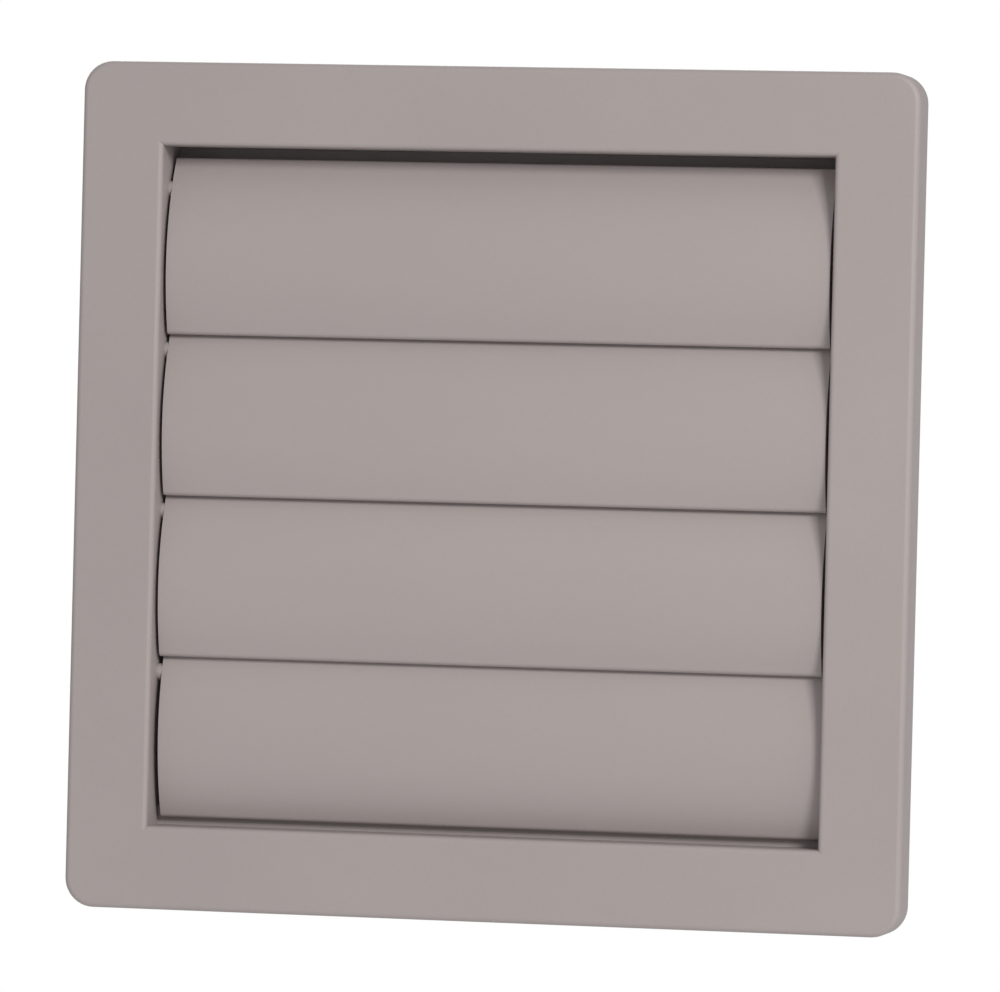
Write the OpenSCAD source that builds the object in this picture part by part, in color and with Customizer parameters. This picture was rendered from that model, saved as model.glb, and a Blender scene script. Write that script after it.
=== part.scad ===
// Louvred wall vent for a 100 mm duct.
// A square moulded cover holds four gravity flaps on pins. It snaps onto a wall plate with a round spigot.
// X runs across the vent, +Y runs into the wall and +Z is up. The origin is on the duct's axis, at the
// wall's surface. Depths are measured back from the front face of the cover.

/* [Cover] */
// Width and height of the square cover
cover_w = 154; // [150:1:190]
// Radius of the cover's corners, seen from the front
cover_corner_r = 5.3; // [4.5:0.1:8]
// Radius that rounds the cover's outer front edge
cover_edge_r = 1; // [0.5:0.1:2]
// Thickness of the cover's face
face_t = 2.2; // [1.6:0.1:3]
// Thickness of the rim that turns back round the cover
rim_t = 2; // [1.5:0.1:2.5]
// Depth of the rim, front face included
rim_depth = 9; // [8:0.1:12]
// Width and height of the square opening
opening_w = 123.7; // [112:0.1:127]
// Radius that rounds the front edge of the opening
opening_edge_r = 0.9; // [0.4:0.1:1.5]
// Thickness of the four walls round the opening
reveal_t = 2; // [1.5:0.1:2.5]

/* [Flaps] */
// Height of the gap between the opening and the top flap
top_gap = 2; // [1.2:0.1:3]
// Height of the gap between the bottom flap and the opening
bottom_gap = 1.5; // [1:0.1:2.5]
// Gap between a flap's end and the wall beside it
end_gap = 0.7; // [0.5:0.05:1.2]
// How far the bottom flap has slid to the right in its end gap
bottom_flap_slide = 0.35; // [0:0.05:0.4]
// How far a flap's lip hangs over the next flap's top edge
flap_overlap = 2.9; // [2:0.1:3.4]
// Depth of a flap's foremost line
bulge_depth = 1.5; // [1.2:0.1:2.2]
// Depth of a flap's face at its top edge
tail_depth = 7.7; // [7:0.1:8.5]
// Depth of a flap's face at its lip
lip_depth = 3.5; // [3:0.1:3.9]
// Thickness of a flap at its foremost line
flap_t = 1.6; // [1.2:0.1:2]
// Thickness of a flap near its top edge, measured straight back
tail_t = 1.2; // [1:0.1:1.5]
// Thickness of a flap near its lip, measured straight back
lip_t = 1.5; // [1.2:0.1:1.8]
// Radius of the bead along the lip
lip_bead_r = 1; // [0.8:0.05:1.2]
// Radius that rounds the top edge
tail_bead_r = 0.6; // [0.5:0.05:0.8]
// Thickness of the cheeks at a flap's ends
cheek_t = 1.5; // [1:0.1:2.5]

/* [Pivots] */
// Depth of the pivot axis
pivot_depth = 6.2; // [5.8:0.1:7]
// Distance of the pivot axis below a flap's top edge
pivot_drop = 5.8; // [5.4:0.1:6.5]
// Radius of a pivot pin
pin_r = 1.5; // [1:0.1:1.8]
// Running clearance round a pin
pin_clear = 0.08; // [0.04:0.01:0.1]
// How far a pin stops short of the wall's outer face
pin_short = 0.25; // [0.1:0.05:0.6]
// Radius of the boss round a pin
boss_r = 2.5; // [2.2:0.1:2.8]
// How far a resting flap leans in from upright, until its lip meets the next flap
rest_lean = 1; // [0:0.1:1.5]
// How far the bottom flap leans in from upright, until its lip meets the sill
bottom_lean = 6.2; // [4:0.1:7]
// How far a flap stands out from upright on its stop pegs
open_angle = 75; // [60:1:78]
// Gap that is left at a stop
stop_gap = 0.35; // [0.2:0.05:0.5]
// Radius of a stop peg
peg_r = 1.2; // [0.8:0.1:1.4]
// How far a stop peg stands out of the wall
peg_len = 2.2; // [1.5:0.1:3]
// Distance from the pivot axis to a stop peg's axis
peg_reach = 5; // [4.8:0.1:5.3]
// Thickness of the sill behind the bottom flap's lip
sill_t = 1.6; // [1:0.1:2.5]

/* [Wall plate] */
// Thickness of the wall plate
plate_t = 2; // [1.5:0.1:3]
// Gap between the tail of a swinging flap and the wall plate
tail_gap = 0.9; // [0.6:0.1:2]
// Gap between the cover's rim and the wall plate's skirt
skirt_gap = 0.8; // [0.4:0.1:1.5]
// Thickness of the skirt
skirt_t = 1.8; // [1.2:0.1:2.2]
// Height of the skirt above the wall plate
skirt_h = 6.5; // [5.5:0.1:7.5]
// Outer diameter of the duct spigot
spigot_d = 100; // [90:1:106]
// Thickness of the spigot's wall
spigot_t = 2; // [1.5:0.1:3]
// Length of the spigot behind the wall plate
spigot_len = 30; // [20:1:60]
// Lead-in chamfer at the spigot's end
spigot_chamfer = 1; // [0.5:0.1:1.4]
// Diameter of the four screw holes
screw_hole_d = 4.5; // [3.5:0.1:5]
// Diameter of the seat under each screw head
screw_seat_d = 8; // [7:0.1:8.4]
// Height of the seat under each screw head
screw_seat_h = 1; // [0.5:0.1:2]

/* [Snap hooks and ribs] */
// Width of a snap hook
hook_w = 8; // [5:0.5:12]
// Thickness of a snap hook's stem
hook_t = 1.4; // [1:0.1:1.8]
// Distance of each hook from the middle of its side
hook_pos = 40; // [38:0.5:42]
// How far a catch stands out of the opening's wall
catch_out = 0.9; // [0.6:0.1:1.2]
// Clearance beside a hook
hook_clear = 0.3; // [0.2:0.05:0.5]
// Depth of the latched faces
catch_depth = 8; // [7.9:0.1:8.5]
// Thickness of the ribs behind the cover's face
rib_t = 1.2; // [0.8:0.1:2]
// Spacing of the four ribs behind each side of the cover
rib_pitch = 40; // [39:0.5:41]
// Depth of the ribs' back edges
rib_depth = 5.5; // [4:0.1:5.8]

/* [Hidden] */
plastic = [0.615, 0.58, 0.57];
$fn = 96;
over = 0.5;
flaps = 4;

half_cover = cover_w / 2;
half_opening = opening_w / 2;
reveal_out = half_opening + reveal_t;
half_plate = half_cover - rim_t - skirt_gap;
plate_corner_r = cover_corner_r - rim_t - skirt_gap;
channel_out = half_plate - skirt_t;
screw_at = (reveal_out + channel_out) / 2;

// Flap rows
flap_pitch = (opening_w - top_gap - bottom_gap - flap_overlap) / flaps;
flap_h = flap_pitch + flap_overlap;
flap_w = opening_w - 2 * end_gap;
pin_len = end_gap + reveal_t - pin_short;
function pivot_z(row) = half_opening - top_gap - pivot_drop - row * flap_pitch;
function lean(row) = row == flaps - 1 ? bottom_lean : rest_lean;
function slide(row) = row == flaps - 1 ? bottom_flap_slide : 0;

// An arc whose foremost point lies a short way down, with its top leaning back by a and its foot by b
function arc_r(h, a, b) =
    let (d = a - b, k = h * h - a * a + b * b,
         p = 4 * d * d, q = 8 * h * h * a - 4 * d * k, s = k * k + 4 * h * h * a * a)
    2 * s / (q + sqrt(q * q - 4 * p * s));
function arc_rise(r, b) = sqrt(2 * r * b - b * b);

// The flap's section has its origin on the pivot axis, with depth as its first and height as its second number
foot = pivot_drop - flap_h;
face_r = arc_r(flap_h, tail_depth - bulge_depth, lip_depth - bulge_depth);
face_c = [bulge_depth + face_r - pivot_depth, foot + arc_rise(face_r, lip_depth - bulge_depth)];
back_a = tail_depth + tail_t - bulge_depth - flap_t;
back_b = lip_depth + lip_t - bulge_depth - flap_t;
back_r = arc_r(flap_h, back_a, back_b);
back_c = [bulge_depth + flap_t + back_r - pivot_depth, foot + arc_rise(back_r, back_b)];

// Centre of a bead that touches the face's arc from inside, at a given height
function bead_c(r, height) =
    [face_c[0] - sqrt(pow(face_r - r, 2) - pow(height - face_c[1], 2)), height];
tail_c = bead_c(tail_bead_r, pivot_drop - tail_bead_r);
lip_c = bead_c(lip_bead_r, foot + lip_bead_r);

// Points of the section when the flap leans in by an angle
function leaned(p, angle) =
    [p[0] * cos(angle) - p[1] * sin(angle), p[0] * sin(angle) + p[1] * cos(angle)];

// The tail's reach sets how far back the wall plate lies
reveal_depth = pivot_depth + norm(tail_c) + tail_bead_r + tail_gap;
front_y = -(reveal_depth + plate_t);

// Stop peg under the tail of an open flap
open_back_c = leaned(back_c, -open_angle);
peg_span = back_r - peg_r - stop_gap;
peg_turn = acos((pow(norm(open_back_c), 2) + pow(peg_reach, 2) - pow(peg_span, 2))
    / (2 * norm(open_back_c) * peg_reach));
peg_angle = atan2(open_back_c[1], open_back_c[0]) + peg_turn;
peg_at = peg_reach * [cos(peg_angle), sin(peg_angle)];

// Sill behind the bottom flap's lip
low_lip = leaned(lip_c, bottom_lean);
sill_front = pivot_depth + low_lip[0] + lip_bead_r + stop_gap;
sill_top = pivot_z(flaps - 1) + low_lip[1] + lip_bead_r;

// A shape of depth and height, drawn out along X
module along_x(length) {
    translate([-length / 2, 0, 0]) rotate([90, 0, 90]) linear_extrude(length) children();
}

// A shape of X and depth, drawn out along Z
module along_z(length) {
    translate([0, 0, -length / 2]) linear_extrude(length) children();
}

// A shape of X and Z, from one depth back by a thickness
module slab(depth, thickness) {
    translate([0, depth + thickness, 0]) rotate([90, 0, 0]) linear_extrude(thickness) children();
}

// A round bar from one depth back by a length
module round_bar(depth, length, r) {
    translate([0, depth, 0]) rotate([-90, 0, 0]) cylinder(h = length, r = r);
}

module on_four_sides() {
    for (turn = [0 : 90 : 270]) rotate([0, turn, 0]) children();
}

module rounded_square(w, r) {
    square([w, w - 2 * r], center = true);
    square([w - 2 * r, w], center = true);
    for (x = [-1, 1], z = [-1, 1]) translate([x * (w / 2 - r), z * (w / 2 - r)]) circle(r);
}

// Rim and edge of the cover in section, from the start of the corner outwards
module rim_section() {
    difference() {
        square([cover_corner_r, rim_depth]);
        translate([-over, face_t]) square([cover_corner_r - rim_t + over, rim_depth]);
        translate([cover_corner_r - cover_edge_r, -over]) difference() {
            square([cover_edge_r + over, cover_edge_r + over]);
            translate([0, cover_edge_r + over]) circle(cover_edge_r);
        }
    }
}

// Face and rim, with rounded corners and a rounded front edge
module cover_shell() {
    straight = half_cover - cover_corner_r;
    slab(0, face_t) square(2 * straight, center = true);
    on_four_sides() {
        along_z(2 * straight) translate([straight, 0]) rim_section();
        translate([straight, 0, -straight]) rotate([-90, 0, 0])
            rotate_extrude(angle = 90) rim_section();
    }
}

// Half of the opening in section, with the rounding of its front edge
module opening_section() {
    translate([-half_opening, -over]) square([opening_w, reveal_depth + 2 * over]);
    for (side = [-1, 1]) difference() {
        translate([side * (half_opening + opening_edge_r / 2), 0])
            square([opening_edge_r, 2 * opening_edge_r], center = true);
        translate([side * (half_opening + opening_edge_r), opening_edge_r]) circle(opening_edge_r);
    }
}

module opening_cut() {
    reach = opening_w + 4 * opening_edge_r;
    intersection() {
        along_z(reach) opening_section();
        rotate([0, 90, 0]) along_z(reach) opening_section();
    }
}

// Catch that a snap hook's barb holds, on the outside of one wall of the opening
module catch() {
    along_z(hook_w + 1) translate([reveal_out, catch_depth])
        polygon([[-over, 0], [catch_out, 0], [catch_out, catch_out], [0, 2.5 * catch_out], [-over, 2.5 * catch_out]]);
}

module snap_hook() {
    stem_in = reveal_out + catch_out + hook_clear;
    tip = catch_depth - 2.5 * catch_out;
    along_z(hook_w) polygon([
        [stem_in, reveal_depth + over], [stem_in, catch_depth], [stem_in - catch_out, catch_depth],
        [stem_in, tip], [stem_in + hook_t, tip], [stem_in + hook_t, reveal_depth + over]]);
}

module rib() {
    along_z(rib_t) translate([reveal_out - over, face_t - over])
        square([half_cover - rim_t + over - reveal_out + over, rib_depth - face_t + over]);
}

module stop_pegs() {
    for (row = [0 : flaps - 1], side = [-1, 1])
        translate([side * (half_opening - peg_len / 2 + over / 2), pivot_depth + peg_at[0], pivot_z(row) + peg_at[1]])
            rotate([0, 90, 0]) cylinder(h = peg_len + over, r = peg_r, center = true);
}

module sill() {
    along_x(opening_w + 2 * over) translate([sill_front, -half_opening - over])
        square([sill_t, sill_top + half_opening + over]);
}

module front_frame() {
    color(plastic) translate([0, front_y, 0]) {
        difference() {
            union() {
                cover_shell();
                slab(0, reveal_depth) square(2 * reveal_out, center = true);
                on_four_sides() {
                    for (place = [-1, 1]) translate([0, 0, place * hook_pos]) catch();
                    for (place = [-1.5 : 1 : 1.5]) translate([0, 0, place * rib_pitch]) rib();
                }
            }
            opening_cut();
            for (row = [0 : flaps - 1]) translate([0, pivot_depth, pivot_z(row)])
                rotate([0, 90, 0]) cylinder(h = 2 * (reveal_out + over), r = pin_r + pin_clear, center = true);
        }
        stop_pegs();
        sill();
    }
}

module wall_plate() {
    skirt_front = reveal_depth - skirt_h;
    color(plastic) translate([0, front_y, 0]) difference() {
        union() {
            slab(reveal_depth, plate_t) rounded_square(2 * half_plate, plate_corner_r);
            difference() {
                slab(skirt_front, skirt_h + plate_t) rounded_square(2 * half_plate, plate_corner_r);
                slab(skirt_front - over, skirt_h + over) square(2 * channel_out, center = true);
            }
            on_four_sides() {
                for (place = [-1, 1]) translate([0, 0, place * hook_pos]) snap_hook();
                translate([screw_at, 0, screw_at])
                    round_bar(reveal_depth - screw_seat_h, screw_seat_h + over, screw_seat_d / 2);
            }
            round_bar(reveal_depth + over, plate_t + spigot_len - spigot_chamfer - over, spigot_d / 2);
            translate([0, reveal_depth + plate_t + spigot_len - spigot_chamfer, 0]) rotate([-90, 0, 0])
                cylinder(h = spigot_chamfer, r1 = spigot_d / 2, r2 = spigot_d / 2 - spigot_chamfer);
        }
        round_bar(reveal_depth - over, plate_t + spigot_len + 2 * over, spigot_d / 2 - spigot_t);
        on_four_sides() translate([screw_at, 0, screw_at])
            round_bar(reveal_depth - screw_seat_h - over, plate_t + screw_seat_h + 2 * over, screw_hole_d / 2);
    }
}

// The part of the section between the two beads
module flap_wedge() {
    polygon([face_c, face_c + 1.5 * (tail_c - face_c), face_c + 1.5 * (lip_c - face_c)]);
}

module flap_section() {
    intersection() {
        difference() {
            translate(face_c) circle(face_r);
            translate(back_c) circle(back_r);
        }
        flap_wedge();
    }
    translate(tail_c) circle(tail_bead_r);
    translate(lip_c) circle(lip_bead_r);
}

// Cheek from the pivot's boss down to the lip, with its back edge touching the boss and the lip's bead
module cheek_section() {
    span = norm(lip_c);
    down = lip_c / span;
    across = [-down[1], down[0]];
    taper = (boss_r - lip_bead_r) / span;
    back_n = down * taper + across * sqrt(1 - taper * taper);
    intersection() {
        union() {
            circle(boss_r);
            polygon([[0, 0], back_n * boss_r, lip_c + back_n * lip_bead_r, lip_c,
                face_c + 1.1 * (lip_c - face_c), [face_c[0] - 1.5 * face_r, 0]]);
        }
        translate(face_c) circle(face_r);
    }
}

module flap(row) {
    color(plastic) translate([slide(row), front_y + pivot_depth, pivot_z(row)]) rotate([lean(row), 0, 0]) {
        along_x(flap_w) flap_section();
        for (side = [-1, 1]) {
            translate([side * (flap_w - cheek_t) / 2, 0, 0]) along_x(cheek_t) cheek_section();
            translate([side * flap_w / 2, 0, 0]) rotate([0, side * 90, 0])
                translate([0, 0, -cheek_t / 2]) cylinder(h = cheek_t / 2 + pin_len, r = pin_r);
        }
    }
}

module louvre_1() { flap(0); }
module louvre_2() { flap(1); }
module louvre_3() { flap(2); }
module louvre_4() { flap(3); }

front_frame();
wall_plate();
louvre_1();
louvre_2();
louvre_3();
louvre_4();
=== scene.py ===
# %% [markdown]
# A louvred wall vent: a square moulded cover with four curved flaps that swing on pins, clipped onto a
# wall plate with a round spigot for the duct. Every solid comes ready from the frame, at its real size
# and in its real place, so this lesson is about light, camera and the finish of moulded plastic.
# Lengths are in metres, X runs across the vent, +Y runs into the wall and +Z is up.

# %% Load the frame
import math

import bpy
from mathutils import Euler, Matrix, Vector


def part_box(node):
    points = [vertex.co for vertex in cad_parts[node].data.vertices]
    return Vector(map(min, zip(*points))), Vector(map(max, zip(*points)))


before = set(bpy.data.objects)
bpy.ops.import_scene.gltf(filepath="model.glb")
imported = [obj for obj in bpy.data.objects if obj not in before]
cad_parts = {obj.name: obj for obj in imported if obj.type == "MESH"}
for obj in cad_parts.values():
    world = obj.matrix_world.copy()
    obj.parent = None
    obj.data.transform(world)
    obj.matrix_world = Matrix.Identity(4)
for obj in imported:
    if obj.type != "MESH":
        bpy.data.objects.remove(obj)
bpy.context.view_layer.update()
print("nodes:", sorted(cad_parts))

# %% [markdown]
# The photograph was taken with a long lens, a little from the right and almost level, and the camera was
# turned slightly on its own axis. A camera is easiest to place backwards: choose the point that it aims
# at, the two angles that it looks from, the roll and the distance, and let one matrix put them together.

# %% Camera
cover_low, cover_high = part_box("front_frame")
FRONT_Y = cover_low[1]
AIM = Vector((0.0024, FRONT_Y, -0.0002))
AIM_DISTANCE = 1.3483
FROM_RIGHT = math.radians(12.24)
FROM_ABOVE = math.radians(0.51)
ROLL = math.radians(1.436)
FOCAL_PIXELS = 7500
PICTURE_WIDTH = 1000
SENSOR = 36.0

camera = bpy.data.objects.new("camera", bpy.data.cameras.new("camera"))
bpy.context.scene.collection.objects.link(camera)
turn = Euler((math.radians(90) - FROM_ABOVE, 0, FROM_RIGHT)).to_matrix() @ Matrix.Rotation(ROLL, 3, "Z")
backwards = turn @ Vector((0, 0, 1))
camera.matrix_world = Matrix.Translation(AIM + AIM_DISTANCE * backwards) @ turn.to_4x4()
camera.data.sensor_width = SENSOR
camera.data.lens = FOCAL_PIXELS / PICTURE_WIDTH * SENSOR
bpy.context.scene.camera = camera
print("lens in mm:", camera.data.lens, "camera at", [round(c, 3) for c in camera.matrix_world.translation])

# %% [markdown]
# Nodes of a material are linked by hand here, so a few helpers keep each recipe short: one adds a node
# and sets its inputs, one reads a noise in object space, and one maps a noise onto a range of values.
# Object coordinates suit parts that come without UVs, because the pattern is carved through the solid
# and moves with it when a flap swings.

# %% Helpers for materials
def add_node(tree, kind, **inputs):
    node = tree.nodes.new(kind)
    for name, value in inputs.items():
        node.inputs[name.replace("_", " ")].default_value = value
    return node


def noise(tree, scale, detail=3.0, roughness=0.5, stretch=(1, 1, 1)):
    place = add_node(tree, "ShaderNodeTexCoord")
    mapping = add_node(tree, "ShaderNodeMapping", Scale=stretch)
    cloud = add_node(tree, "ShaderNodeTexNoise", Scale=scale, Detail=detail, Roughness=roughness)
    tree.links.new(place.outputs["Object"], mapping.inputs["Vector"])
    tree.links.new(mapping.outputs["Vector"], cloud.inputs["Vector"])
    return cloud.outputs["Fac"]


def spread(tree, value, low, high, from_low=0.3, from_high=0.7):
    ranged = tree.nodes.new("ShaderNodeMapRange")
    tree.links.new(value, ranged.inputs["Value"])
    for name, number in (("From Min", from_low), ("From Max", from_high), ("To Min", low), ("To Max", high)):
        ranged.inputs[name].default_value = number
    return ranged.outputs["Result"]


def blend_colours(tree, value, dark, light):
    mix = tree.nodes.new("ShaderNodeMix")
    mix.data_type = "RGBA"
    mix.inputs["A"].default_value = (*dark, 1)
    mix.inputs["B"].default_value = (*light, 1)
    tree.links.new(value, mix.inputs["Factor"])
    return mix.outputs["Result"]


def linear(red, green, blue):
    """A colour given as screen values from 0 to 255, in the linear values that shaders use."""
    def one(c):
        c = c / 255
        return c / 12.92 if c <= 0.04045 else ((c + 0.055) / 1.055) ** 2.4
    return one(red), one(green), one(blue)


def shade_of(colour, factor):
    return tuple(c * factor for c in colour)


print("linear grey of the cover:", [round(c, 3) for c in linear(157, 148, 146)])

# %% [markdown]
# Moulded plastic in a warm grey. Up close it isn't one flat colour: pigment flows unevenly, the mould's
# fine texture catches the light, and the gloss changes a little where the material cooled. So the
# recipe layers three noises: broad clouds and fine specks for colour, a middle one for roughness, and
# a fine grain for bump.

# %% Plastic recipe
def moulded_plastic(name, colour, mottle, rough, grain_scale, grain_height, flow=(1, 1, 1)):
    material = bpy.data.materials.new(name)
    material.use_nodes = True
    tree = material.node_tree
    surface = tree.nodes["Principled BSDF"]

    clouds = noise(tree, 22.0, detail=4.0, stretch=flow)
    specks = noise(tree, 1400.0, detail=2.0, roughness=0.7)
    both = tree.nodes.new("ShaderNodeMath")
    both.operation = "MULTIPLY_ADD"
    tree.links.new(specks, both.inputs[0])
    both.inputs[1].default_value = 0.5
    tree.links.new(spread(tree, clouds, 0.0, 0.5), both.inputs[2])
    tint = blend_colours(tree, both.outputs["Value"],
                         shade_of(colour, 1 - mottle), shade_of(colour, 1 + mottle))
    tree.links.new(tint, surface.inputs["Base Color"])

    gloss = noise(tree, 160.0, detail=3.0, stretch=flow)
    tree.links.new(spread(tree, gloss, rough - 0.05, rough + 0.05), surface.inputs["Roughness"])

    grain = noise(tree, grain_scale, detail=2.0, roughness=0.6)
    bump = add_node(tree, "ShaderNodeBump", Strength=0.6, Distance=grain_height)
    tree.links.new(grain, bump.inputs["Height"])
    tree.links.new(bump.outputs["Normal"], surface.inputs["Normal"])
    surface.inputs["IOR"].default_value = 1.46
    print("material:", name, [round(c, 3) for c in colour])
    return material


COVER_COLOUR = linear(157, 148, 146)
LOUVRE_COLOUR = linear(159, 150, 148)
PLATE_COLOUR = linear(153, 145, 143)

cover_plastic = moulded_plastic("cover_plastic", COVER_COLOUR, 0.05, 0.52, 2600.0, 0.00004)
louvre_plastic = moulded_plastic("louvre_plastic", LOUVRE_COLOUR, 0.05, 0.50, 2600.0, 0.00003,
                                 flow=(0.25, 1, 1))
plate_plastic = moulded_plastic("plate_plastic", PLATE_COLOUR, 0.05, 0.56, 1800.0, 0.00005)

# %% [markdown]
# The frame's nodes keep their meshes. Each only gets its material, in the slots that it already has.

# %% Materials on the nodes
FINISHES = {"front_frame": cover_plastic, "wall_plate": plate_plastic}
for name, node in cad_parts.items():
    finish = FINISHES.get(name, louvre_plastic)
    if not node.data.materials:
        node.data.materials.append(finish)
    for index in range(len(node.data.materials)):
        node.data.materials[index] = finish
    print(name, "gets", finish.name, "and has", len(node.data.polygons), "faces")

# %% [markdown]
# The room is a pale round floor below the vent, which catches its shadow, and a world that is white to
# the camera and a softer grey to everything that it lights. The floor melts into that white towards its
# edge, so no horizon shows from any side.

# %% Floor and world
FLOOR_Z = cover_low[2] - 0.073
FLOOR_R = 0.55
bpy.ops.object.select_all(action="DESELECT")
bpy.ops.mesh.primitive_circle_add(vertices=128, radius=FLOOR_R, fill_type="NGON", location=(0, 0, FLOOR_Z))
floor = bpy.context.object
floor.name = "floor"

floor_paint = bpy.data.materials.new("floor_paint")
floor_paint.use_nodes = True
tree = floor_paint.node_tree
paint = tree.nodes["Principled BSDF"]
paint.inputs["Base Color"].default_value = (0.86, 0.86, 0.86, 1)
paint.inputs["Roughness"].default_value = 0.9
place = add_node(tree, "ShaderNodeTexCoord")
length = tree.nodes.new("ShaderNodeVectorMath")
length.operation = "LENGTH"
tree.links.new(place.outputs["Object"], length.inputs[0])
fade = spread(tree, length.outputs["Value"], 0.0, 1.0, 0.3 * FLOOR_R, 0.97 * FLOOR_R)
rays = tree.nodes.new("ShaderNodeLightPath")
seen = tree.nodes.new("ShaderNodeMath")
seen.operation = "MULTIPLY"
tree.links.new(fade, seen.inputs[0])
tree.links.new(rays.outputs["Is Camera Ray"], seen.inputs[1])
white = add_node(tree, "ShaderNodeEmission", Color=(1, 1, 1, 1), Strength=1.0)
mix = tree.nodes.new("ShaderNodeMixShader")
tree.links.new(seen.outputs["Value"], mix.inputs["Fac"])
tree.links.new(paint.outputs["BSDF"], mix.inputs[1])
tree.links.new(white.outputs["Emission"], mix.inputs[2])
tree.links.new(mix.outputs["Shader"], tree.nodes["Material Output"].inputs["Surface"])
floor.data.materials.append(floor_paint)

AMBIENT = 0.50
world = bpy.data.worlds.new("studio")
bpy.context.scene.world = world
world.use_nodes = True
tree = world.node_tree
soft = tree.nodes["Background"]
soft.inputs["Color"].default_value = (1.0, 1.0, 1.0, 1)
soft.inputs["Strength"].default_value = AMBIENT
plain_white = add_node(tree, "ShaderNodeBackground", Color=(1, 1, 1, 1), Strength=1.0)
rays = tree.nodes.new("ShaderNodeLightPath")
mix = tree.nodes.new("ShaderNodeMixShader")
tree.links.new(rays.outputs["Is Camera Ray"], mix.inputs["Fac"])
tree.links.new(soft.outputs["Background"], mix.inputs[1])
tree.links.new(plain_white.outputs["Background"], mix.inputs[2])
tree.links.new(mix.outputs["Shader"], tree.nodes["World Output"].inputs["Surface"])
print("floor at", round(1000 * FLOOR_Z), "mm, ambient", AMBIENT)

# %% [markdown]
# The key light stands to the right of the vent and a little above it. Its place was read from the
# shadows: the opening's right wall throws one onto each flap, and its width against the flap's depth
# gives the angle. It is fairly large, so the shadow's edge is soft. A second, dimmer panel behind keeps
# the back of the vent readable when it is turned round.

# %% Lights
def panel(name, azimuth, elevation, distance, size, power):
    """A square area light, by its angles from straight in front of the vent."""
    data = bpy.data.lights.new(name, "AREA")
    data.size = size
    data.energy = power
    lamp = bpy.data.objects.new(name, data)
    bpy.context.scene.collection.objects.link(lamp)
    a, e = math.radians(azimuth), math.radians(elevation)
    towards = Vector((math.sin(a) * math.cos(e), -math.cos(a) * math.cos(e), math.sin(e)))
    lamp.location = distance * towards
    lamp.rotation_euler = towards.to_track_quat("Z", "Y").to_euler()
    print("light:", name, [round(c, 2) for c in lamp.location], power, "W")
    return lamp


panel("key", azimuth=36, elevation=22, distance=1.3, size=0.35, power=11.0)
panel("back", azimuth=205, elevation=30, distance=1.4, size=0.8, power=6.0)

# %% [markdown]
# Standard view transform shows a colour about as it is written, which makes it easy to compare with a
# photograph.

# %% Finish
bpy.context.scene.view_settings.view_transform = "Standard"
